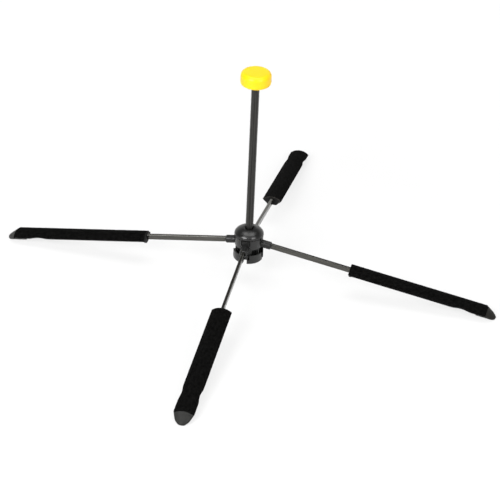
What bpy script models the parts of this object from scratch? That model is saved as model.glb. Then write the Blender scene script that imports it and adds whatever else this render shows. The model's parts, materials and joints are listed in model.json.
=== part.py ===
"""Folding four-leg flute stand.

A thin pole with a turned cap stands on a round hub. Four flat bars are hinged in
slots of the hub and end in quarter-round shells covered with velvet. Open, the
tips of the shells rest on the table. Folded down, the four shells close into one
velvet cylinder with a rounded nose, which is stored inside the flute.

Units are metres, +Z is up, the table is at Z = 0 and the pole stands on the Z axis.
"""
from math import asin, cos, hypot, pi, radians, sin, sqrt

import bmesh
import bpy
from mathutils import Matrix, Vector

MM = 0.001

# Clearances
FACE_GAP = 0.3 * MM         # between faces that meet
FIT_GAP = 0.1 * MM          # round a bar in its pocket, under glued velvet
SWING_GAP = 0.3 * MM        # round what swings past a fixed face
SHELL_GAP = 0.6 * MM        # between neighbouring shells when folded

# Leg pose and hinge
LEG_NAMES = {"left": 180, "front": 270, "right": 0, "back": 90}
LEG_SLOPE = radians(9.0)    # fall of an open leg towards its tip
HINGE_RADIUS = 6.15 * MM    # pole axis to pin, and bar to the axis of the shell's arc
PIN_RADIUS = 0.75 * MM
PIN_HALF = 3.45 * MM

# Bar
BAR_THICK = 1.8 * MM
BAR_TALL = 3.4 * MM
BAR_ROUND = 0.45 * MM
BAR_SEAT = 10.0 * MM        # length held inside the shell

# Knuckle, measured from the pin
KNUCKLE_RADIUS = 2.35 * MM
KNUCKLE_REACH = 7.8 * MM
KNUCKLE_CHAMFER = 0.65 * MM
MOUTH_DEPTH = 1.4 * MM
MOUTH_LIP = 0.4 * MM
BLOCK_BACK = 1.2 * MM         # block that fills the slot over the pin
BLOCK_FRONT = 2.0 * MM
BLOCK_TOP = 4.1 * MM
BLOCK_INSET = 0.1 * MM
HEEL_HIGH = 1.9 * MM
HEEL_LOW = 0.3 * MM
HEEL_HALF = 1.4 * MM
HEEL_REACH = 2.65 * MM

# Shell and velvet, stations measured from the pin along the bar
VELVET_RADIUS = 8.7 * MM    # outside of the closed cylinder
VELVET_THICK = 0.5 * MM
SLEEVE_START = 56.6 * MM
SLEEVE_LIP = 0.3 * MM       # shell standing out of the velvet at its inner end
SHELL_WALL = 1.1 * MM
BOSS_LENGTH = 12.0 * MM      # boss that holds the bar inside the shell
BOSS_INSET = 0.2 * MM
BOSS_WALL = 1.3 * MM
BOSS_FLOOR = 0.8 * MM
WEB_LENGTH = 1.4 * MM       # web that closes the shell's inner end
WEB_APEX = 3.2 * MM
WAIST_CENTRE = 124.8 * MM
WAIST_HALF = 6.6 * MM
WAIST_ANGLE = radians(5.6)
ARC_STEPS = 8
WAIST_STEPS = 8

# Tip
NOSE_START = 138.8 * MM
NOSE_TAPER = 0.61           # fall of the nose's radius per length
NOSE_COVER = 1.6 * MM       # part of the nose that velvet covers
NOSE_LENGTH = 6.7 * MM
END_ROUND = 1.2 * MM        # length of the end's rounding, seen from the side
PLAN_ROUND = 3.0 * MM       # the same, seen from above
ROUND_RINGS = 8
TIP_ARC_STEPS = 16
TIP_CHAMFER = 0.3 * MM
APEX_CUT = 2.8 * MM         # height of the tip's underside over the arc's axis
SOLE_DEPTH = 0.25 * MM      # flat ground off where the tip stands
SPIGOT_LENGTH = 4.7 * MM

# Hub, heights measured from the pins
DOME_RADIUS = 8.75 * MM
DOME_BASE = 5.1 * MM
DOME_HEIGHT = 4.5 * MM
DOME_POWER = 2.05
DOME_BORE = 2.75 * MM
SKIRT_FOOT_RADIUS = 8.2 * MM
SKIRT_FOOT = -1.7 * MM
COLUMN_HALF = 3.2 * MM
CUP_RADIUS = 8.9 * MM
CUP_RIM = -5.1 * MM
CUP_HEIGHT = 6.0 * MM
CUP_ROUND = 0.9 * MM
CUP_RIM_ROUND = 0.25 * MM
MOAT_OUTER = 8.2 * MM
MOAT_INNER = 6.1 * MM
MOAT_DEPTH = 3.0 * MM

# Pole, cap and centre screw
POLE_RADIUS = 2.3 * MM
POLE_WALL = 0.45 * MM
CAP_BASE = 105.1 * MM
CAP_HEIGHT = 7.7 * MM
CAP_RADIUS = 8.8 * MM
CAP_TOP_ROUND = 2.6 * MM
CAP_BASE_ROUND = 1.5 * MM
CAP_BORE_DEPTH = 5.2 * MM
PLUG_LENGTH = 9.0 * MM
SCREW_RADIUS = 1.0 * MM
SCREW_LENGTH = 15.0 * MM
HEAD_RADIUS = 2.3 * MM
HEAD_HEIGHT = 1.5 * MM
HEAD_SINK = 0.3 * MM
SLOT_WIDTH = 0.7 * MM
SLOT_DEPTH = 0.7 * MM

ROUND_STEPS = 56
SMALL_STEPS = 20

# Sizes that follow from the ones above
SHELL_RADIUS = VELVET_RADIUS - VELVET_THICK - FIT_GAP
HALF_ANGLE = pi / 4 - asin(SHELL_GAP / 2 / VELVET_RADIUS)
VELVET_END = NOSE_START + NOSE_COVER
TIP_END = NOSE_START + NOSE_LENGTH
COVERED_RADIUS = VELVET_RADIUS - (VELVET_THICK + FIT_GAP) * hypot(1, NOSE_TAPER)
NOSE_CORNER = NOSE_START - (SHELL_RADIUS - COVERED_RADIUS) / NOSE_TAPER
SHOULDER = NOSE_CORNER - FACE_GAP
SOLE_START = TIP_END - END_ROUND
SOLE_HALF = (VELVET_RADIUS - NOSE_TAPER * (SOLE_START - NOSE_START) - APEX_CUT) / 2
NOSE_AXIS = APEX_CUT + SOLE_HALF
SOLE_DROP = (
    sin(LEG_SLOPE) * SOLE_START
    + cos(LEG_SLOPE) * (HINGE_RADIUS - NOSE_AXIS)
    + hypot(END_ROUND * sin(LEG_SLOPE), SOLE_HALF * cos(LEG_SLOPE))
)
PIN_HEIGHT = SOLE_DROP - SOLE_DEPTH
SLOT_HALF = KNUCKLE_RADIUS + SWING_GAP
POLE_FOOT = SKIRT_FOOT + FIT_GAP


def clear_scene():
    for obj in list(bpy.data.objects):
        bpy.data.objects.remove(obj, do_unlink=True)


def new_collection(name, hidden=False):
    made = bpy.data.collections.new(name)
    bpy.context.scene.collection.children.link(made)
    made.hide_render = hidden
    return made


clear_scene()
STAND = new_collection("flute_stand")
CUTTERS = new_collection("cutters", hidden=True)


def finish(name, colour, roughness, metallic=0.0):
    """A Principled material of one colour."""
    made = bpy.data.materials.new(name)
    made.use_nodes = True
    shader = made.node_tree.nodes["Principled BSDF"]
    shader.inputs["Base Color"].default_value = (*colour, 1.0)
    shader.inputs["Roughness"].default_value = roughness
    shader.inputs["Metallic"].default_value = metallic
    return made


HUB_PLASTIC = finish("hub_plastic", (0.035, 0.035, 0.036), 0.38)
KNUCKLE_PLASTIC = finish("knuckle_plastic", (0.032, 0.032, 0.032), 0.45)
SHELL_PLASTIC = finish("shell_plastic", (0.03, 0.03, 0.03), 0.5)
TIP_RUBBER = finish("tip_rubber", (0.075, 0.074, 0.07), 0.6)
VELVET = finish("black_velvet", (0.006, 0.006, 0.006), 0.95)
BAR_METAL = finish("bar_metal", (0.12, 0.12, 0.115), 0.32, 0.9)
POLE_METAL = finish("pole_metal", (0.07, 0.07, 0.065), 0.3, 0.9)
PIN_STEEL = finish("pin_steel", (0.55, 0.55, 0.56), 0.3, 1.0)
CAP_PLASTIC = finish("cap_plastic", (1.0, 0.93, 0.03), 0.35)


def object_of(name, mesh, material=None, collection=STAND):
    made = bpy.data.objects.new(name, mesh)
    collection.objects.link(made)
    if material:
        mesh.materials.clear()
        mesh.materials.append(material)
    if collection is CUTTERS:
        made.hide_render = True
        made.display_type = "WIRE"
    return made


def smooth(mesh, angle=radians(35)):
    mesh.shade_smooth()
    mesh.set_sharp_from_angle(angle=angle)


def mesh_of(name, bm):
    bmesh.ops.recalc_face_normals(bm, faces=bm.faces)
    mesh = bpy.data.meshes.new(name)
    bm.to_mesh(mesh)
    bm.free()
    return mesh


def box_mesh(name, low, high):
    """A box between two corners."""
    low, high = Vector(low), Vector(high)
    bm = bmesh.new()
    bmesh.ops.create_cube(bm, size=1.0)
    bmesh.ops.scale(bm, vec=high - low, verts=bm.verts)
    bmesh.ops.translate(bm, vec=(low + high) / 2, verts=bm.verts)
    return mesh_of(name, bm)


def rod_mesh(name, radius, half, axis, steps=SMALL_STEPS):
    """A cylinder centred on the origin, along the axis X, Y or Z."""
    bm = bmesh.new()
    bmesh.ops.create_cone(
        bm, cap_ends=True, segments=steps, radius1=radius, radius2=radius, depth=2 * half
    )
    turn = {"X": Matrix.Rotation(pi / 2, 3, "Y"), "Y": Matrix.Rotation(pi / 2, 3, "X")}
    bmesh.ops.rotate(bm, cent=(0, 0, 0), matrix=turn.get(axis, Matrix.Identity(3)), verts=bm.verts)
    return mesh_of(name, bm)


def quarter_arc(centre, radius, start, end, steps=5):
    """Points of an arc of a profile, from one angle to another, in degrees."""
    turns = [radians(start + (end - start) * i / steps) for i in range(steps + 1)]
    return [(centre[0] + radius * cos(t), centre[1] + radius * sin(t)) for t in turns]


def turned(name, profile, material=None, collection=STAND, steps=ROUND_STEPS, ring=False):
    """A profile of (radius, height) points, from top to bottom, turned round Z."""
    mesh = bpy.data.meshes.new(name)
    count = len(profile)
    edges = [(i, i + 1) for i in range(count - 1)]
    if ring:
        edges.append((count - 1, 0))
    mesh.from_pydata([(r, 0.0, z) for r, z in profile], edges, [])
    made = object_of(name, mesh, material, collection)
    screw = made.modifiers.new("turn", "SCREW")
    screw.axis = "Z"
    screw.steps = steps
    screw.render_steps = steps
    screw.use_merge_vertices = True
    screw.merge_threshold = 0.00001
    screw.use_smooth_shade = True
    return made


def boolean(made, other, operation="DIFFERENCE"):
    modifier = made.modifiers.new(operation.lower(), "BOOLEAN")
    modifier.operation = operation
    modifier.object = other


def cutter(name, mesh, matrix=None):
    made = object_of(name, mesh, None, CUTTERS)
    if matrix:
        made.matrix_world = matrix
    return made


def baked(made, name):
    """The object's evaluated shape as a mesh of its own; the object goes."""
    bpy.context.view_layer.update()
    graph = bpy.context.evaluated_depsgraph_get()
    mesh = bpy.data.meshes.new_from_object(made.evaluated_get(graph))
    mesh.transform(made.matrix_world)
    mesh.name = name
    bpy.data.objects.remove(made, do_unlink=True)
    return mesh


def heading(azimuth):
    """Turn round the pole to a leg's direction."""
    return Matrix.Rotation(radians(azimuth), 4, "Z")


def wedge_mesh(name, start, end, apex):
    """The sector that one leg may fill in the closed cylinder, cut off at the apex height."""
    reach = 1.5 * VELVET_RADIUS
    side_gap = SHELL_GAP / sqrt(2)
    bm = bmesh.new()
    bmesh.ops.create_cube(bm, size=2.0)
    for vert in bm.verts:
        height = reach if vert.co.z > 0 else apex
        side = 1 if vert.co.y > 0 else -1
        station = end if vert.co.x > 0 else start
        vert.co = (station, side * (height - side_gap), height - HINGE_RADIUS)
    return mesh_of(name, bm)


def half_angle(station):
    """Half the arc's angle, drawn in at the finger notch."""
    offset = abs(station - WAIST_CENTRE) / WAIST_HALF
    if offset >= 1:
        return HALF_ANGLE
    return HALF_ANGLE - WAIST_ANGLE * cos(offset * pi / 2) ** 2


def skin(name, stations, radius_at, thickness):
    """A curved sheet along the leg, thickened inwards."""
    bm = bmesh.new()
    rows = len(stations) - 1
    bmesh.ops.create_grid(bm, x_segments=rows, y_segments=ARC_STEPS, size=1.0)
    for vert in bm.verts:
        station = stations[round((vert.co.x + 1) / 2 * rows)]
        turn = vert.co.y * half_angle(station)
        radius = radius_at(station)
        vert.co = (station, radius * sin(turn), radius * cos(turn) - HINGE_RADIUS)
    mesh = bpy.data.meshes.new(name)
    bm.to_mesh(mesh)
    bm.free()
    made = object_of(name, mesh)
    wall = made.modifiers.new("wall", "SOLIDIFY")
    wall.thickness = thickness
    wall.offset = -1
    wall.use_even_offset = True
    return made


def waist_stations():
    return [WAIST_CENTRE + WAIST_HALF * (2 * i / WAIST_STEPS - 1) for i in range(WAIST_STEPS + 1)]


def nose_radius(station):
    """Outside radius of the velvet."""
    return VELVET_RADIUS - NOSE_TAPER * max(0.0, station - NOSE_START)


def velvet_mesh():
    stations = [SLEEVE_START, *waist_stations(), NOSE_START, VELVET_END]
    mesh = baked(skin("velvet", stations, nose_radius, VELVET_THICK), "velvet")
    smooth(mesh)
    return mesh


def shell_mesh():
    """Quarter-round plastic trough with a thick inner end that holds the bar."""
    inner_end = SLEEVE_START - SLEEVE_LIP
    stations = [inner_end, *waist_stations(), SHOULDER - FACE_GAP]
    shell = skin("shell", stations, lambda station: SHELL_RADIUS, SHELL_WALL)

    wide, tall = BAR_THICK / 2 + FIT_GAP, BAR_TALL / 2 + FIT_GAP
    start = inner_end + BOSS_INSET
    side = wide + BOSS_WALL
    top = SHELL_RADIUS - SHELL_WALL / 2 - HINGE_RADIUS
    boss = box_mesh("boss", (start, -side, -tall - BOSS_FLOOR), (start + BOSS_LENGTH, side, top))
    boolean(shell, cutter("boss", boss), "UNION")

    web = rod_mesh("web", SHELL_RADIUS - BOSS_INSET, WEB_LENGTH / 2, "X", ROUND_STEPS)
    web.transform(Matrix.Translation((start + WEB_LENGTH / 2, 0, -HINGE_RADIUS)))
    web = object_of("web", web)
    boolean(web, cutter("sector", wedge_mesh("sector", 0.0, TIP_END, WEB_APEX)), "INTERSECT")
    boolean(shell, cutter("web_solid", baked(web, "web_solid")), "UNION")

    pocket_end = SLEEVE_START + BAR_SEAT + FACE_GAP
    pocket = cutter("pocket", box_mesh("pocket", (0, -wide, -tall), (pocket_end, wide, tall)))
    boolean(shell, pocket)
    mesh = baked(shell, "shell")
    smooth(mesh)
    return mesh


def tip_ring(station, radius):
    """Section of the tip: an arc on top, two sides of its sector, and the underside."""
    arc = pi / 4 - asin(SHELL_GAP / 2 / radius)
    turns = [arc * (2 * i / TIP_ARC_STEPS - 1) for i in range(TIP_ARC_STEPS + 1)]
    side = APEX_CUT - SHELL_GAP / sqrt(2)
    under = [(side + TIP_CHAMFER, APEX_CUT + TIP_CHAMFER), (side - TIP_CHAMFER, APEX_CUT)]
    section = [(radius * sin(t), radius * cos(t)) for t in turns]
    section += under + [(-y, z) for y, z in reversed(under)]
    narrow = sqrt(1 - min(1, max(0, station - TIP_END + PLAN_ROUND) / PLAN_ROUND) ** 2)
    low = sqrt(1 - min(1, max(0, station - TIP_END + END_ROUND) / END_ROUND) ** 2)
    return [
        (station, y * narrow, NOSE_AXIS + (z - NOSE_AXIS) * low - HINGE_RADIUS)
        for y, z in section
    ]


def tip_mesh():
    """Rounded nose with a spigot that plugs the outer end of the shell."""
    spigot_radius = SHELL_RADIUS - SHELL_WALL - FACE_GAP
    turns = [pi / 2 * i / ROUND_RINGS for i in range(ROUND_RINGS)]
    bare = VELVET_END + FIT_GAP
    outside = [bare, *[TIP_END - PLAN_ROUND * (1 - sin(t)) for t in turns]]
    rings = [
        tip_ring(SHOULDER - SPIGOT_LENGTH, spigot_radius),
        tip_ring(SHOULDER, spigot_radius),
        tip_ring(SHOULDER, SHELL_RADIUS),
        tip_ring(NOSE_CORNER, SHELL_RADIUS),
        tip_ring(VELVET_END, COVERED_RADIUS - NOSE_TAPER * NOSE_COVER),
        *[tip_ring(station, nose_radius(station)) for station in outside],
    ]
    bm = bmesh.new()
    loops = [[bm.verts.new(point) for point in ring] for ring in rings]
    count = len(loops[0])
    for near, far in zip(loops, loops[1:]):
        for i in range(count):
            k = (i + 1) % count
            bm.faces.new((near[i], near[k], far[k], far[i]))
    bm.faces.new(loops[0])
    end = bm.verts.new((TIP_END, 0, NOSE_AXIS - HINGE_RADIUS))
    for i in range(count):
        bm.faces.new((loops[-1][i], loops[-1][(i + 1) % count], end))
    nose = object_of("tip", mesh_of("tip", bm))
    boolean(nose, floor_cutter())
    mesh = baked(nose, "tip")
    smooth(mesh)
    return mesh


def floor_cutter():
    """The table, seen from an open leg: it grinds the flat that the tip stands on."""
    side = 2 * VELVET_RADIUS
    start = NOSE_START - SPIGOT_LENGTH
    mesh = box_mesh("table", (start, -side, -PIN_HEIGHT - side), (TIP_END + side, side, -PIN_HEIGHT))
    mesh.transform(Matrix.Rotation(-LEG_SLOPE, 4, "Y"))
    return cutter("table", mesh)


def bar_mesh():
    """Flat bar on edge, from the knuckle to the inner end of the shell."""
    start = PIN_RADIUS + MOUTH_DEPTH
    low = (start, -BAR_THICK / 2, -BAR_TALL / 2)
    high = (SLEEVE_START + BAR_SEAT, BAR_THICK / 2, BAR_TALL / 2)
    bar = object_of("bar", box_mesh("bar", low, high))
    edge = bar.modifiers.new("round", "BEVEL")
    edge.width = BAR_ROUND
    edge.segments = 3
    mesh = baked(bar, "bar")
    smooth(mesh)
    return mesh


def knuckle_mesh():
    """Barrel round the inner end of the bar: a block fills its slot, a heel stops the leg."""
    radius, reach = KNUCKLE_RADIUS, KNUCKLE_REACH
    mouth = radius - KNUCKLE_CHAMFER - MOUTH_LIP / 2
    profile = [
        (0, reach - MOUTH_DEPTH),
        (mouth, reach - MOUTH_DEPTH),
        (mouth, reach),
        (radius - KNUCKLE_CHAMFER, reach),
        (radius, reach - KNUCKLE_CHAMFER),
        *reversed(quarter_arc((0, 0), radius, -90, 0)[1:]),
        (0, -radius),
    ]
    barrel = baked(turned("knuckle", profile, steps=28), "knuckle")
    barrel.transform(Matrix.Rotation(pi / 2, 4, "Y"))
    knuckle = object_of("knuckle", barrel)

    heel = box_mesh("heel", (-HEEL_REACH, -HEEL_HALF, HEEL_LOW), (0, HEEL_HALF, HEEL_HIGH))
    heel.transform(Matrix.Rotation(-LEG_SLOPE, 4, "Y"))
    boolean(knuckle, cutter("heel", heel), "UNION")
    half = radius - BLOCK_INSET
    block = box_mesh("block", (-BLOCK_BACK, -half, 0), (BLOCK_FRONT, half, BLOCK_TOP))
    block.transform(Matrix.Rotation(-LEG_SLOPE, 4, "Y"))
    boolean(knuckle, cutter("block", block), "UNION")
    bore = rod_mesh("bore", PIN_RADIUS + FIT_GAP, 2 * radius, "Y")
    boolean(knuckle, cutter("bore", bore))
    wide, tall = BAR_THICK / 2 + FIT_GAP, BAR_TALL / 2 + FIT_GAP
    start = PIN_RADIUS + MOUTH_DEPTH - FACE_GAP
    pocket = box_mesh("slot", (start, -wide, -tall), (2 * reach, wide, tall))
    boolean(knuckle, cutter("slot", pocket))
    mesh = baked(knuckle, "knuckle")
    smooth(mesh)
    return mesh


def pin_mesh():
    mesh = rod_mesh("pin", PIN_RADIUS, PIN_HALF, "Y")
    smooth(mesh)
    return mesh


def build_legs():
    """Each leg hangs on an empty that lies on its hinge axis."""
    moving = {
        "knuckle": (knuckle_mesh(), KNUCKLE_PLASTIC),
        "bar": (bar_mesh(), BAR_METAL),
        "shell": (shell_mesh(), SHELL_PLASTIC),
        "velvet": (velvet_mesh(), VELVET),
        "tip": (tip_mesh(), TIP_RUBBER),
    }
    pin = pin_mesh()
    for leg, azimuth in LEG_NAMES.items():
        place = heading(azimuth) @ Matrix.Translation((HINGE_RADIUS, 0, PIN_HEIGHT))
        hinge = bpy.data.objects.new(f"{leg}_hinge", None)
        STAND.objects.link(hinge)
        hinge.matrix_world = place @ Matrix.Rotation(LEG_SLOPE, 4, "Y")
        for part, (mesh, material) in moving.items():
            made = object_of(f"{leg}_{part}", mesh, material)
            made.parent = hinge
        object_of(f"{leg}_pin", pin, PIN_STEEL).matrix_world = place


def dome_profile():
    """Flattened dome, from the bore out and down to the seam."""
    base, top = PIN_HEIGHT + DOME_BASE, DOME_HEIGHT
    steps = 10
    points = []
    for i in range(steps + 1):
        turn = pi / 2 * (1 - i / steps)
        radius = DOME_RADIUS * cos(turn) ** (2 / DOME_POWER)
        if radius > DOME_BORE + FACE_GAP:
            points.append((radius, base + top * sin(turn) ** (2 / DOME_POWER)))
    rim = (1 - (DOME_BORE / DOME_RADIUS) ** DOME_POWER) ** (1 / DOME_POWER)
    return [(DOME_BORE, base + top * rim), *points, (DOME_BORE, base)]


def build_dome():
    turned("hub_dome", dome_profile(), HUB_PLASTIC, ring=True)


def build_hinge_block():
    """Skirt with four slots for the knuckles and grooves underneath for the pins."""
    top = PIN_HEIGHT + DOME_BASE - FACE_GAP
    foot = PIN_HEIGHT + SKIRT_FOOT
    bore = POLE_RADIUS + FACE_GAP
    profile = [(bore, top), (DOME_RADIUS, top), (SKIRT_FOOT_RADIUS, foot), (bore, foot)]
    block = turned("hinge_block", profile, HUB_PLASTIC, ring=True)
    groove = PIN_RADIUS + FIT_GAP
    length = PIN_HALF + FIT_GAP
    for leg, azimuth in LEG_NAMES.items():
        place = heading(azimuth) @ Matrix.Translation((HINGE_RADIUS, 0, PIN_HEIGHT))
        inner = COLUMN_HALF - HINGE_RADIUS
        low = (inner, -SLOT_HALF, 2 * SKIRT_FOOT)
        slot = box_mesh(f"{leg}_slot", low, (CUP_RADIUS, SLOT_HALF, 2 * DOME_BASE))
        boolean(block, cutter(f"{leg}_slot", slot, place))
        bore_mesh = rod_mesh(f"{leg}_seat", groove, length, "Y")
        boolean(block, cutter(f"{leg}_seat", bore_mesh, place))
        channel = box_mesh(f"{leg}_channel", (-groove, -length, 2 * SKIRT_FOOT), (groove, length, 0))
        boolean(block, cutter(f"{leg}_channel", channel, place))


def cup_profile():
    """Cup with a thin rim, a moat behind it and a raised middle."""
    foot = PIN_HEIGHT + CUP_RIM - CUP_HEIGHT
    rim = PIN_HEIGHT + CUP_RIM
    top = PIN_HEIGHT + SKIRT_FOOT - FACE_GAP
    screw_hole = SCREW_RADIUS + FACE_GAP
    head_hole = HEAD_RADIUS + FACE_GAP
    ledge = foot + HEAD_SINK + HEAD_HEIGHT + FACE_GAP
    outer = CUP_RADIUS - CUP_RIM_ROUND
    return [
        (screw_hole, top),
        (MOAT_INNER, top),
        (MOAT_INNER, rim - MOAT_DEPTH),
        (MOAT_OUTER, rim - MOAT_DEPTH),
        (MOAT_OUTER, rim),
        *reversed(quarter_arc((outer, rim - CUP_RIM_ROUND), CUP_RIM_ROUND, 0, 90, 2)),
        *reversed(quarter_arc((CUP_RADIUS - CUP_ROUND, foot + CUP_ROUND), CUP_ROUND, -90, 0, 4)),
        (head_hole, foot),
        (head_hole, ledge),
        (screw_hole, ledge),
    ]


def build_cup():
    """Base cup: ribs hold the pins up, notches let the folded bars through."""
    cup = turned("base_cup", cup_profile(), HUB_PLASTIC, ring=True)
    rib_half = PIN_RADIUS - FIT_GAP
    rib_top = -PIN_RADIUS - FIT_GAP
    notch = BAR_THICK / 2 + SWING_GAP
    below = 2 * (CUP_RIM - CUP_HEIGHT)
    knuckle_end = hypot(KNUCKLE_REACH, KNUCKLE_RADIUS - KNUCKLE_CHAMFER) + SWING_GAP
    for leg, azimuth in LEG_NAMES.items():
        place = heading(azimuth) @ Matrix.Translation((HINGE_RADIUS, 0, PIN_HEIGHT))
        rib_low = CUP_RIM - MOAT_DEPTH - CUP_ROUND
        rib = box_mesh(f"{leg}_rib", (-rib_half, -PIN_HALF, rib_low), (rib_half, PIN_HALF, rib_top))
        boolean(cup, cutter(f"{leg}_rib", rib, place), "UNION")
    for leg, azimuth in LEG_NAMES.items():
        place = heading(azimuth) @ Matrix.Translation((HINGE_RADIUS, 0, PIN_HEIGHT))
        inner = COLUMN_HALF - HINGE_RADIUS
        low = (inner, -SLOT_HALF, -knuckle_end)
        well = box_mesh(f"{leg}_well", low, (CUP_RADIUS, SLOT_HALF, DOME_BASE))
        boolean(cup, cutter(f"{leg}_well", well, place))
        low = (-BAR_TALL / 2 - SWING_GAP, -notch, below)
        gate = box_mesh(f"{leg}_notch", low, (CUP_RADIUS, notch, CUP_RIM))
        boolean(cup, cutter(f"{leg}_notch", gate, place))


def build_pole():
    foot = PIN_HEIGHT + POLE_FOOT
    top = PIN_HEIGHT + CAP_BASE + CAP_BORE_DEPTH - FACE_GAP
    bore = POLE_RADIUS - POLE_WALL
    profile = [(bore, top), (POLE_RADIUS, top), (POLE_RADIUS, foot), (bore, foot)]
    turned("pole_tube", profile, POLE_METAL, steps=32, ring=True)


def build_plug():
    """Threaded plug in the foot of the pole, which the centre screw pulls down."""
    foot = PIN_HEIGHT + POLE_FOOT
    outer = POLE_RADIUS - POLE_WALL - FIT_GAP
    bore = SCREW_RADIUS + FIT_GAP
    top = foot + PLUG_LENGTH
    profile = [(bore, top), (outer, top), (outer, foot), (bore, foot)]
    turned("pole_plug", profile, PIN_STEEL, steps=SMALL_STEPS, ring=True)


def build_screw():
    foot = PIN_HEIGHT + CUP_RIM - CUP_HEIGHT + HEAD_SINK
    neck = foot + HEAD_HEIGHT
    end = foot + SCREW_LENGTH
    profile = [(0, end), (SCREW_RADIUS, end), (SCREW_RADIUS, neck), (HEAD_RADIUS, neck),
               (HEAD_RADIUS, foot), (0, foot)]
    screw = turned("base_screw", profile, PIN_STEEL, steps=SMALL_STEPS)
    half = SLOT_WIDTH / 2
    slot = box_mesh("driver_slot", (-CUP_RADIUS, -half, 0), (CUP_RADIUS, half, foot + SLOT_DEPTH))
    boolean(screw, cutter("driver_slot", slot))


def build_cap():
    foot = PIN_HEIGHT + CAP_BASE
    top = foot + CAP_HEIGHT
    bore = POLE_RADIUS + FIT_GAP
    ceiling = foot + CAP_BORE_DEPTH
    crown = CAP_RADIUS - CAP_TOP_ROUND
    base = CAP_RADIUS - CAP_BASE_ROUND
    profile = [
        (0, top),
        *reversed(quarter_arc((crown, top - CAP_TOP_ROUND), CAP_TOP_ROUND, 0, 90)),
        *reversed(quarter_arc((base, foot + CAP_BASE_ROUND), CAP_BASE_ROUND, -90, 0, 4)),
        (bore, foot),
        (bore, ceiling),
        (0, ceiling),
    ]
    turned("top_cap", profile, CAP_PLASTIC, steps=48)


build_dome()
build_hinge_block()
build_cup()
build_pole()
build_plug()
build_screw()
build_cap()
build_legs()
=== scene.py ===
"""Looks of the folding flute stand: finishes, velvet sleeves, rubber tips, light and camera."""
import json
from math import asin, cos, pi, radians, sin

import bpy
import numpy as np
from mathutils import Matrix, Vector


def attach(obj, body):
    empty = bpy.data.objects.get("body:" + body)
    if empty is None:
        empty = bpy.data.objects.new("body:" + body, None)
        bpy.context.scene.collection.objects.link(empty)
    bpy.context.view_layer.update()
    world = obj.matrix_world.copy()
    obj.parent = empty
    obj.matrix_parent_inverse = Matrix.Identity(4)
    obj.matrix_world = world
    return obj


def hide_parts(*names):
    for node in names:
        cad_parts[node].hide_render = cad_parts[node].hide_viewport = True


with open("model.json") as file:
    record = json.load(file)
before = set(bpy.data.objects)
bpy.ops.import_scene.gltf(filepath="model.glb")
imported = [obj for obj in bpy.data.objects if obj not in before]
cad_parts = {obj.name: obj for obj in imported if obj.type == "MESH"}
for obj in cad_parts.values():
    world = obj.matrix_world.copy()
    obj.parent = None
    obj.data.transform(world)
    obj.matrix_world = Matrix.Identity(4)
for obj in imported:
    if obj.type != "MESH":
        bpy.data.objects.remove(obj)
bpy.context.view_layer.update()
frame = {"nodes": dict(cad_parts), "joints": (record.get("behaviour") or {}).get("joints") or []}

MM = 0.001
LEGS = {"left": 180, "front": 270, "right": 0, "back": 90}      # degrees round the pole from +X

# Leg frame: +X along the bar from the pin, +Z away from the axis of the sleeve's arc
HINGES = {joint["child"]: Vector(joint["pos_m"]) for joint in frame["joints"]}
HINGE_RADIUS = HINGES["leg_right"].x
HINGE_HEIGHT = HINGES["leg_right"].z
LEG_SLOPE = radians(9.0)

# Sleeve and nose, stations measured from the pin
VELVET_RADIUS = 8.7 * MM
VELVET_THICK = 0.5 * MM
SLEEVE_STARTS = {"left": 57.2 * MM, "front": 57.2 * MM, "right": 56.0 * MM, "back": 56.0 * MM}
VELVET_ENDS = {"left": 140.4 * MM, "front": 139.3 * MM, "right": 139.4 * MM, "back": 140.4 * MM}
NOSE_START = 138.8 * MM
NOSE_TAPER = 0.61
VELVET_LIMIT = 140.4 * MM   # velvet that ends before this leaves bare rubber, up to NOSE_BARE
NOSE_BARE = 140.5 * MM      # from here on the tip is flush with the velvet
WAIST_CENTRE = 124.8 * MM
WAIST_HALF = 6.6 * MM
WAIST_ANGLE = radians(5.6)
SHELL_GAP = 0.6 * MM
HALF_ANGLE = pi / 4 - asin(SHELL_GAP / 2 / VELVET_RADIUS)

# Mesh of the skins that are made here
ARC_STEPS = 36
SLEEVE_STEPS = 150
NOSE_STEPS = 3
SKIN_CORNER = radians(50)   # corners sharper than this are rounded
VELVET_ROUND = 0.16 * MM
PILE_SPREAD = 0.03 * MM     # how much the pile lifts and sinks
PILE_LIMIT = 0.06 * MM
CUT_EDGE = -0.9             # faces that look this far back at the hub are the velvet's cut edge
COLLAR_GAP = 0.1 * MM
COLLAR_ROUND = 0.08 * MM

# Rounds on the edges of the CAD nodes
NODE_CORNER = radians(38)
NODE_ROUND = 0.12 * MM
TIP_ROUND = 0.1 * MM
SMALL_ROUND = 0.05 * MM

# Rubber of each tip: its colour and the paler colour where it is worn. Both carry painted light and
# shade: lighter on the left tip, darker and browner on the right tip, whose upper side is in shade.
TIP_COLOURS_WITH_PAINTED_LIGHT = {
    "left": ((0.026, 0.026, 0.025), (0.062, 0.061, 0.057)),
    "front": ((0.012, 0.0119, 0.0112), (0.031, 0.0305, 0.028)),
    "right": ((0.007, 0.0064, 0.0052), (0.021, 0.0195, 0.016)),
    "back": ((0.012, 0.0119, 0.0112), (0.031, 0.0305, 0.028)),
}

# Lengths of the metal's streaks along each axis, in metres
BAR_STREAKS = (0.03, 0.0003, 0.0003)
POLE_STREAKS = (0.00022, 0.00022, 0.03)

# Camera, fitted to the photo
PICTURE = 500               # pixels across the picture
FOCAL = 2037.97             # in the same pixels
SENSOR = 36                 # in millimetres
DISTANCE = 1.19907          # from the camera to AIM, along the view
ELEVATION = radians(33.267)
AZIMUTH = radians(12.313)
ROLL = radians(2.591)
AIM = Vector((0, 0, HINGE_HEIGHT + 0.00507))    # this point is seen at AIM_PIXEL
AIM_PIXEL = (249.07, 233.39)

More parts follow.
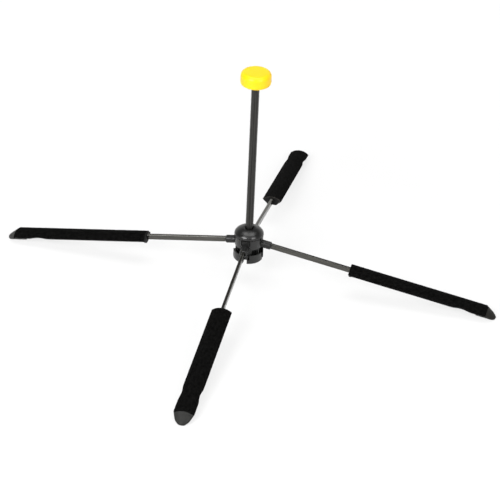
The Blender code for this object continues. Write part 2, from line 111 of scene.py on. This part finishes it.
# Table and light
TABLE_CLARITY = 0.75        # share of what is under the table that the camera sees through it
TABLE_LEVEL = -0.2 * MM
TABLE_SIZE = 12
TABLE_SEEN = (0.67, 0.67, 0.67)       # its colour for the camera
TABLE_GLOW = (0.15, 1.2)    # distances at which the table starts to turn white, and is white
LAMP_AIM = Vector((0, 0, 0.05))


# Mesh work

def leg_matrix(leg):
    """From the leg's own frame to the stand's."""
    turn = Matrix.Rotation(radians(LEGS[leg]), 4, "Z")
    pin = Matrix.Translation((HINGE_RADIUS, 0, HINGE_HEIGHT))
    return turn @ pin @ Matrix.Rotation(LEG_SLOPE, 4, "Y")


def nothing_selected():
    bpy.ops.object.select_all(action="DESELECT")


def chain(name, points):
    """A line of points, drawn by extruding one point after another."""
    nothing_selected()
    bpy.ops.mesh.primitive_plane_add(size=MM, location=(0, 0, 0))
    piece = bpy.context.object
    piece.name = name
    bpy.ops.object.mode_set(mode="EDIT")
    bpy.ops.mesh.select_all(action="SELECT")
    bpy.ops.mesh.merge(type="CENTER")
    bpy.ops.transform.translate(value=points[0])
    for start, end in zip(points, points[1:]):
        step = Vector(end) - Vector(start)
        bpy.ops.mesh.extrude_vertices_move(TRANSFORM_OT_translate={"value": step})
    bpy.ops.object.mode_set(mode="OBJECT")
    return piece


def spin(piece, angle, centre, axis):
    """Spins the whole line round an axis and merges what meets."""
    bpy.ops.object.mode_set(mode="EDIT")
    bpy.ops.mesh.select_all(action="SELECT")
    bpy.ops.mesh.spin(steps=ARC_STEPS, angle=angle, center=centre, axis=axis)
    bpy.ops.mesh.select_all(action="SELECT")
    bpy.ops.mesh.remove_doubles(threshold=0.002 * MM)
    bpy.ops.mesh.normals_make_consistent(inside=False)
    bpy.ops.object.mode_set(mode="OBJECT")


def apply(piece, kind, **settings):
    """Adds a modifier with these settings and applies it."""
    modifier = piece.modifiers.new(kind.title(), kind)
    for key, value in settings.items():
        setattr(modifier, key, value)
    bpy.context.view_layer.objects.active = piece
    bpy.ops.object.modifier_apply(modifier=modifier.name)


def rounded(piece, width, segments):
    """Rounds the corners of a skin."""
    apply(piece, "BEVEL", width=width, segments=segments, limit_method="ANGLE",
          angle_limit=SKIN_CORNER)


def smooth(piece, degrees):
    nothing_selected()
    piece.select_set(True)
    bpy.context.view_layer.objects.active = piece
    bpy.ops.object.shade_smooth_by_angle(angle=radians(degrees))


def coordinates(mesh):
    flat = np.empty(len(mesh.vertices) * 3)
    mesh.vertices.foreach_get("co", flat)
    return flat.reshape(-1, 3)


def move_to(mesh, points):
    mesh.vertices.foreach_set("co", points.ravel())
    mesh.update()


# Nodes of materials, groups and the world

MIX_LOW, MIX_HIGH, MIX_RESULT = 6, 7, 2     # colour sockets of a Mix node
WHITE = (1, 1, 1, 1)


def rgba(colour):
    return (*colour, 1)


def feed(tree, sockets, values):
    """Links each named socket to another socket, or gives it a value."""
    for key, value in values.items():
        if isinstance(value, bpy.types.NodeSocket):
            tree.links.new(value, sockets[key])
        else:
            sockets[key].default_value = value


def adder(tree):
    """A function that adds a node to this tree, with its inputs and settings."""
    def add(kind, inputs=None, **settings):
        node = tree.nodes.new(kind)
        for key, value in settings.items():
            setattr(node, key, value)
        feed(tree, node.inputs, inputs or {})
        return node

    return add


def noise(add, place, scale, detail, roughness=0.5):
    node = add("ShaderNodeTexNoise", {"Vector": place, "Scale": scale, "Detail": detail,
                                      "Roughness": roughness})
    return node.outputs["Fac"]


def bump(add, height, strength, distance):
    node = add("ShaderNodeBump", {"Height": height, "Strength": strength, "Distance": distance})
    return node.outputs["Normal"]


def reckon(add, operation, *values):
    return add("ShaderNodeMath", dict(enumerate(values)), operation=operation).outputs[0]


def ranged(add, value, limits, result=(0.0, 1.0), **settings):
    """Takes a value from between these limits to between these results."""
    node = add("ShaderNodeMapRange", {"Value": value, "From Min": limits[0], "From Max": limits[1],
                                      "To Min": result[0], "To Max": result[1]}, **settings)
    return node.outputs[0]


def mixed(add, factor, low, high):
    """A colour between two others."""
    node = add("ShaderNodeMix", {"Factor": factor, MIX_LOW: low, MIX_HIGH: high}, data_type="RGBA")
    return node.outputs[MIX_RESULT]


# Shared effects

def new_group(name, numbers, colours):
    """A group from a Vector, numbers and colours to a Colour, a Roughness and a Normal."""
    group = bpy.data.node_groups.new(name, "ShaderNodeTree")
    inputs = {"Vector": "Vector"}
    inputs |= dict.fromkeys(numbers, "Float")
    inputs |= dict.fromkeys(colours, "Color")
    outputs = {"Colour": "Color", "Roughness": "Float", "Normal": "Vector"}
    for side, sockets in (("INPUT", inputs), ("OUTPUT", outputs)):
        for key, kind in sockets.items():
            group.interface.new_socket(key, in_out=side, socket_type=f"NodeSocket{kind}")
    start = group.nodes.new("NodeGroupInput").outputs
    end = group.nodes.new("NodeGroupOutput").inputs
    return group, start, end, adder(group)


def uneven_roughness(add, start, cloud):
    """The group's roughness, spread to both sides by a noise."""
    offset = reckon(add, "SUBTRACT", cloud, 0.5)
    return reckon(add, "MULTIPLY_ADD", offset, start["Roughness Spread"], start["Roughness"])


def moulded_grain():
    """Fine texture of moulded plastic: a grain normal, uneven roughness and pale scuffs."""
    group, start, end, add = new_group(
        "moulded_grain",
        numbers=("Grain", "Depth", "Roughness", "Roughness Spread", "Scuff Amount"),
        colours=("Colour", "Scuff"),
    )
    grain = noise(add, start["Vector"], scale=start["Grain"], detail=3.0)
    cloud = noise(add, start["Vector"], scale=210.0, detail=4.0)
    marks = noise(add, start["Vector"], scale=900.0, detail=6.0, roughness=0.75)
    worn = reckon(add, "MULTIPLY", ranged(add, marks, (0.56, 0.72)), start["Scuff Amount"])
    feed(group, end, {
        "Colour": mixed(add, worn, start["Colour"], start["Scuff"]),
        "Roughness": uneven_roughness(add, start, cloud),
        "Normal": bump(add, grain, start["Depth"], distance=0.04 * MM),
    })
    return group


def drawn_streaks():
    """Fine lines of drawn metal, along the long direction of the given coordinates."""
    group, start, end, add = new_group(
        "drawn_streaks",
        numbers=("Depth", "Roughness", "Roughness Spread"),
        colours=("Dark", "Light"),
    )
    line = noise(add, start["Vector"], scale=1.0, detail=5.0, roughness=0.65)
    feed(group, end, {
        "Colour": mixed(add, ranged(add, line, (0.3, 0.7)), start["Dark"], start["Light"]),
        "Roughness": uneven_roughness(add, start, line),
        "Normal": bump(add, line, start["Depth"], distance=0.03 * MM),
    })
    return group


MOULDED = moulded_grain()
DRAWN = drawn_streaks()


# Materials

class Shader:
    """A material under way, with its Principled shader."""

    def __init__(self, name):
        self.material = bpy.data.materials.new(name)
        self.material.use_nodes = True
        self.tree = self.material.node_tree
        self.main = self.tree.nodes["Principled BSDF"]
        self.add = adder(self.tree)
        self.place = self.add("ShaderNodeTexCoord").outputs["Object"]

    def finish(self, values):
        """Feeds the Principled shader and gives the material."""
        feed(self.tree, self.main.inputs, values)
        return self.material

    def finish_with(self, group, place, values, constants):
        """The same, from a shared effect and these constants."""
        effect = self.add("ShaderNodeGroup", {"Vector": place, **values}, node_tree=group)
        return self.finish({
            "Base Color": effect.outputs["Colour"],
            "Roughness": effect.outputs["Roughness"],
            "Normal": effect.outputs["Normal"],
            **constants,
        })


def moulded(name, colour, scuff, scuff_amount, grain, depth, roughness, spread, constants):
    """A material with the moulded grain, whose roughness varies by this spread."""
    shader = Shader(name)
    values = {"Colour": rgba(colour), "Scuff": rgba(scuff), "Scuff Amount": scuff_amount,
              "Grain": grain, "Depth": depth, "Roughness": roughness, "Roughness Spread": spread}
    return shader.finish_with(MOULDED, shader.place, values, constants)


def black_plastic(name, roughness, shine, scuff_amount=0.25):
    return moulded(name, (0.006, 0.006, 0.0059), (0.026, 0.026, 0.0245), scuff_amount,
                   grain=2400.0, depth=0.35, roughness=roughness, spread=0.15,
                   constants={"Specular IOR Level": shine})


def yellow_plastic():
    """Opaque yellow, a little warmer and duller where it was handled."""
    return moulded("yellow_plastic", (0.76, 0.485, 0.004), (0.74, 0.40, 0.004), 0.35,
                   grain=1500.0, depth=0.12, roughness=0.36, spread=0.2,
                   constants={"Specular IOR Level": 0.25})


def tip_rubber_with_painted_light(name, shade, wear_with_painted_light):
    """Matt grey rubber in one tip's colours, which carry painted light and shade."""
    return moulded(name, shade, wear_with_painted_light, 0.55, grain=1900.0, depth=0.7, roughness=0.62, spread=0.15,
                   constants={"Specular IOR Level": 0.2})


def turned_steel():
    return moulded("turned_steel", (0.5, 0.5, 0.5), (0.3, 0.3, 0.29), 0.5,
                   grain=4000.0, depth=0.2, roughness=0.3, spread=0.2,
                   constants={"Metallic": 1.0})


def drawn_metal(name, turn, stretch, dark, light, roughness):
    """Dark metal with streaks along a bar or the pole, whose direction the turn gives."""
    shader = Shader(name)
    along = shader.add("ShaderNodeMapping",
                       {"Vector": shader.place, "Rotation": turn, "Scale": stretch},
                       vector_type="TEXTURE")
    values = {"Dark": rgba(dark), "Light": rgba(light), "Depth": 0.3, "Roughness": roughness,
              "Roughness Spread": 0.3}
    return shader.finish_with(DRAWN, along.outputs["Vector"], values, {"Metallic": 0.85})


def black_velvet():
    """Short dense pile: nearly black, with brushed patches and a faint sheen."""
    shader = Shader("black_velvet")
    pile = noise(shader.add, shader.place, scale=3800.0, detail=3.0)
    nap = noise(shader.add, shader.place, scale=700.0, detail=5.0, roughness=0.6)
    tone = ranged(shader.add, reckon(shader.add, "MULTIPLY", pile, nap), (0.16, 0.38))
    dark, light = (0.0011, 0.0011, 0.0011), (0.006, 0.0059, 0.0057)
    return shader.finish({
        "Base Color": mixed(shader.add, tone, rgba(dark), rgba(light)),
        "Roughness": 0.95,
        "Normal": bump(shader.add, pile, strength=0.9, distance=0.12 * MM),
        "Specular IOR Level": 0.0,
        "Sheen Weight": 0.015,
        "Sheen Roughness": 0.4,
    })


def velvet_backing():
    """Cut edge of the cloth: the woven ground under the pile."""
    shader = Shader("velvet_backing")
    weave = noise(shader.add, shader.place, scale=2600.0, detail=2.0)
    dark, light = (0.006, 0.0056, 0.0046), (0.03, 0.027, 0.021)
    return shader.finish({
        "Base Color": mixed(shader.add, weave, rgba(dark), rgba(light)),
        "Roughness": 0.9,
        "Normal": bump(shader.add, weave, strength=0.6, distance=0.08 * MM),
    })


# Pieces

def half_angle(station):
    """Half the arc's angle, drawn in at the finger notch."""
    offset = np.clip(np.abs(station - WAIST_CENTRE) / WAIST_HALF, 0, 1)
    return HALF_ANGLE - WAIST_ANGLE * np.cos(offset * pi / 2) ** 2


def nose_radius(station):
    return VELVET_RADIUS - NOSE_TAPER * max(0.0, station - NOSE_START)


def outward_skin(piece):
    """Turns an open skin's faces away from the arc's axis."""
    mesh = piece.data
    face = mesh.polygons[len(mesh.polygons) // 2]
    away = face.center - Vector((face.center.x, 0, -HINGE_RADIUS))
    if face.normal.dot(away) < 0:
        bpy.ops.object.mode_set(mode="EDIT")
        bpy.ops.mesh.select_all(action="SELECT")
        bpy.ops.mesh.flip_normals()
        bpy.ops.object.mode_set(mode="OBJECT")


def skin(name, stations):
    """A sheet spun over one leg's sector, with its outside flush with the closed cylinder."""
    side = sin(HALF_ANGLE), cos(HALF_ANGLE)
    points = [(x, -nose_radius(x) * side[0], nose_radius(x) * side[1] - HINGE_RADIUS)
              for x in stations]
    piece = chain(name, points)
    spin(piece, 2 * HALF_ANGLE, centre=(0, 0, -HINGE_RADIUS), axis=(1, 0, 0))
    co = coordinates(piece.data)
    height = co[:, 2] + HINGE_RADIUS
    radius = np.hypot(co[:, 1], height)
    turn = np.arctan2(co[:, 1], height) * half_angle(co[:, 0]) / HALF_ANGLE
    co[:, 1] = radius * np.sin(turn)
    co[:, 2] = radius * np.cos(turn) - HINGE_RADIUS
    move_to(piece.data, co)
    outward_skin(piece)
    apply(piece, "SOLIDIFY", thickness=VELVET_THICK, offset=-1, use_even_offset=True)
    return piece


def ruffle(piece, seed):
    """Unevenness of the pile, a few hundredths of a millimetre."""
    random = np.random.default_rng(seed)
    mesh = piece.data
    co = coordinates(mesh)
    normals = np.empty(len(mesh.vertices) * 3)
    mesh.vertex_normals.foreach_get("vector", normals)
    lift = random.normal(0, PILE_SPREAD, len(co)).clip(-PILE_LIMIT, PILE_LIMIT)
    move_to(mesh, co + normals.reshape(-1, 3) * lift[:, None])


def make_velvet(leg, material, backing, seed):
    """Velvet drawn over one shell: a spun skin, pinched at the waist, with a soft pile."""
    start, end = SLEEVE_STARTS[leg], VELVET_ENDS[leg]
    stations = [start + (NOSE_START - start) * i / SLEEVE_STEPS for i in range(SLEEVE_STEPS + 1)]
    stations += [NOSE_START + (end - NOSE_START) * i / NOSE_STEPS for i in range(1, NOSE_STEPS + 1)]
    piece = skin(f"{leg}_velvet_pile", stations)
    rounded(piece, VELVET_ROUND, segments=3)
    ruffle(piece, seed)
    piece.data.materials.append(material)
    piece.data.materials.append(backing)
    for face in piece.data.polygons:
        if face.normal.x < CUT_EDGE:
            face.material_index = 1
    smooth(piece, degrees=60)
    piece.data.transform(leg_matrix(leg))
    return piece


def make_collar(leg, material):
    """Bare rubber between the velvet's edge and the nose, where the velvet is cut short."""
    start = VELVET_ENDS[leg] + COLLAR_GAP
    piece = skin(f"{leg}_tip_collar", [start, (start + NOSE_BARE) / 2, NOSE_BARE])
    rounded(piece, COLLAR_ROUND, segments=2)
    smooth(piece, degrees=50)
    piece.data.materials.append(material)
    piece.data.transform(leg_matrix(leg))
    return piece


def finish_node(name, material, width=NODE_ROUND):
    """Gives a CAD node its material, and small rounds of this width on its edges."""
    node = frame["nodes"][name]
    node.data.materials.clear()
    node.data.materials.append(material)
    node.data.shade_smooth()
    weld = node.modifiers.new("weld", "WELD")
    weld.merge_threshold = 0.001 * MM
    if width:
        edge = node.modifiers.new("edge", "BEVEL")
        edge.width = width
        edge.segments = 2
        edge.limit_method = "ANGLE"
        edge.angle_limit = NODE_CORNER
        edge.harden_normals = True
    normal = node.modifiers.new("normals", "WEIGHTED_NORMAL")
    normal.keep_sharp = True


# Camera, light and table

def photo_camera():
    back = Vector((sin(AZIMUTH) * cos(ELEVATION), -cos(AZIMUTH) * cos(ELEVATION), sin(ELEVATION)))
    level = Vector((cos(AZIMUTH), sin(AZIMUTH), 0))
    upright = back.cross(level)
    right = cos(ROLL) * level + sin(ROLL) * upright
    up = -sin(ROLL) * level + cos(ROLL) * upright
    across = (AIM_PIXEL[0] - PICTURE / 2) / FOCAL * DISTANCE
    down = (AIM_PIXEL[1] - PICTURE / 2) / FOCAL * DISTANCE
    data = bpy.data.cameras.new("photo_camera")
    data.sensor_width = SENSOR
    data.lens = SENSOR * FOCAL / PICTURE
    data.clip_start = 0.01
    data.clip_end = 50
    camera = bpy.data.objects.new("photo_camera", data)
    bpy.context.scene.collection.objects.link(camera)
    camera.matrix_world = Matrix((right, up, back)).transposed().to_4x4()
    camera.location = AIM + DISTANCE * back - across * right + down * up
    bpy.context.scene.camera = camera


def softbox(name, azimuth, elevation, distance, size, power):
    """A flat lamp that looks at the stand; its angles are those of a camera in its place."""
    data = bpy.data.lights.new(name, "AREA")
    data.shape = "RECTANGLE"
    data.size, data.size_y = size
    data.energy = power
    lamp = bpy.data.objects.new(name, data)
    bpy.context.scene.collection.objects.link(lamp)
    round_pole, up = radians(azimuth), radians(elevation)
    away = Vector((sin(round_pole) * cos(up), -cos(round_pole) * cos(up), sin(up)))
    lamp.location = LAMP_AIM + away * distance
    lamp.rotation_euler = away.to_track_quat("Z", "Y").to_euler()


def studio():
    """Lamps on both sides of the camera and overhead, and a backdrop that is bright behind
    the stand and dims upwards. The camera sees it as plain white."""
    softbox("left_softbox", azimuth=-24, elevation=33, distance=1.4, size=(0.65, 0.65), power=22)
    softbox("right_softbox", azimuth=49, elevation=33, distance=1.4, size=(0.5, 0.65), power=12)
    softbox("top_softbox", azimuth=12, elevation=93, distance=1.5, size=(1.4, 0.9), power=18)
    world = bpy.data.worlds.new("studio")
    bpy.context.scene.world = world
    world.use_nodes = True
    tree = world.node_tree
    add = adder(tree)
    direction = add("ShaderNodeTexCoord").outputs["Generated"]
    parts = add("ShaderNodeSeparateXYZ", {0: direction}).outputs
    upwards = ranged(add, parts["Z"], (0.25, 0.72), (0.55, 0.03), interpolation_type="SMOOTHSTEP")
    behind = ranged(add, parts["Y"], (-0.1, 0.8), (0.35, 2.0), interpolation_type="SMOOTHSTEP")
    light = tree.nodes["Background"]
    feed(tree, light.inputs, {"Color": (1.0, 0.99, 0.97, 1),
                              "Strength": reckon(add, "MULTIPLY", upwards, behind)})
    white = add("ShaderNodeBackground", {"Color": WHITE})
    camera_ray = add("ShaderNodeLightPath").outputs["Is Camera Ray"]
    both = add("ShaderNodeMixShader", {0: camera_ray, 1: light.outputs[0], 2: white.outputs[0]})
    feed(tree, tree.nodes["World Output"].inputs, {"Surface": both.outputs[0]})


def white_table():
    """Pale table that keeps the shadows; legs that are folded down under it stay in sight."""
    nothing_selected()
    bpy.ops.mesh.primitive_plane_add(size=TABLE_SIZE, location=(0, 0, TABLE_LEVEL))
    table = bpy.context.object
    table.name = "table"
    shader = Shader("white_table")
    add = shader.add
    camera_ray = add("ShaderNodeLightPath").outputs["Is Camera Ray"]
    cloud = noise(add, shader.place, scale=3.0, detail=2.0)
    pale = mixed(add, cloud, rgba((0.80, 0.80, 0.80)), rgba((0.82, 0.82, 0.815)))
    shader.finish({
        "Base Color": mixed(add, camera_ray, pale, rgba(TABLE_SEEN)),
        "Roughness": 0.8,
        "Specular IOR Level": 0.1,
    })
    distance = add("ShaderNodeVectorMath", {0: shader.place}, operation="LENGTH").outputs["Value"]
    glow = reckon(add, "MULTIPLY", camera_ray, ranged(add, distance, TABLE_GLOW))
    light = add("ShaderNodeEmission", {"Color": WHITE, "Strength": glow})
    solid = add("ShaderNodeAddShader", {0: shader.main.outputs[0], 1: light.outputs[0]})
    through = reckon(add, "MULTIPLY", camera_ray, TABLE_CLARITY)
    from_below = add("ShaderNodeNewGeometry").outputs["Backfacing"]
    clear = reckon(add, "MAXIMUM", through, from_below)
    glass = add("ShaderNodeBsdfTransparent")
    both = add("ShaderNodeMixShader", {0: clear, 1: solid.outputs[0], 2: glass.outputs[0]})
    feed(shader.tree, shader.tree.nodes["Material Output"].inputs, {"Surface": both.outputs[0]})
    table.data.materials.append(shader.material)


# The stand

def dress_hub():
    finish_node("hub_dome", black_plastic("dome_plastic", roughness=0.31, shine=0.45))
    block = black_plastic("block_plastic", roughness=0.31, shine=0.35)
    for name in ("hinge_block", "base_cup"):
        finish_node(name, block)
    steel = turned_steel()
    for name in ("base_screw", "pole_plug"):
        finish_node(name, steel, SMALL_ROUND)
    pole = drawn_metal("pole_metal", (0, 0, 0), POLE_STREAKS, dark=(0.009, 0.0089, 0.0085),
                       light=(0.052, 0.0508, 0.0478), roughness=0.28)
    finish_node("pole_tube", pole, SMALL_ROUND)
    finish_node("top_cap", yellow_plastic(), width=0)
    for leg in LEGS:
        finish_node(f"{leg}_pin", steel, SMALL_ROUND)


def dress_legs():
    knuckle = black_plastic("knuckle_plastic", roughness=0.42, shine=0.29, scuff_amount=0.45)
    shell = black_plastic("shell_plastic", roughness=0.6, shine=0.12, scuff_amount=0.3)
    velvet = black_velvet()
    backing = velvet_backing()
    for seed, (leg, azimuth) in enumerate(LEGS.items()):
        # each tip's rubber has painted light and shade: lighter on the left tip, darker on the
        # right tip
        rubber = tip_rubber_with_painted_light(f"{leg}_tip_rubber_with_painted_light", *TIP_COLOURS_WITH_PAINTED_LIGHT[leg])
        bar = drawn_metal(f"{leg}_bar_metal", (0, LEG_SLOPE, radians(azimuth)), BAR_STREAKS,
                          dark=(0.036, 0.0355, 0.032), light=(0.1, 0.098, 0.09), roughness=0.22)
        finish_node(f"{leg}_knuckle", knuckle)
        finish_node(f"{leg}_bar", bar, width=0)
        finish_node(f"{leg}_shell", shell)
        pile = make_velvet(leg, velvet, backing, seed)
        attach(pile, f"leg_{leg}")
        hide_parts(f"{leg}_velvet")
        finish_node(f"{leg}_tip", rubber, TIP_ROUND)
        if VELVET_ENDS[leg] < VELVET_LIMIT:
            collar = make_collar(leg, rubber)
            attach(collar, f"leg_{leg}")


photo_camera()
studio()
white_table()
dress_hub()
dress_legs()
bpy.context.scene.view_settings.view_transform = "Standard"
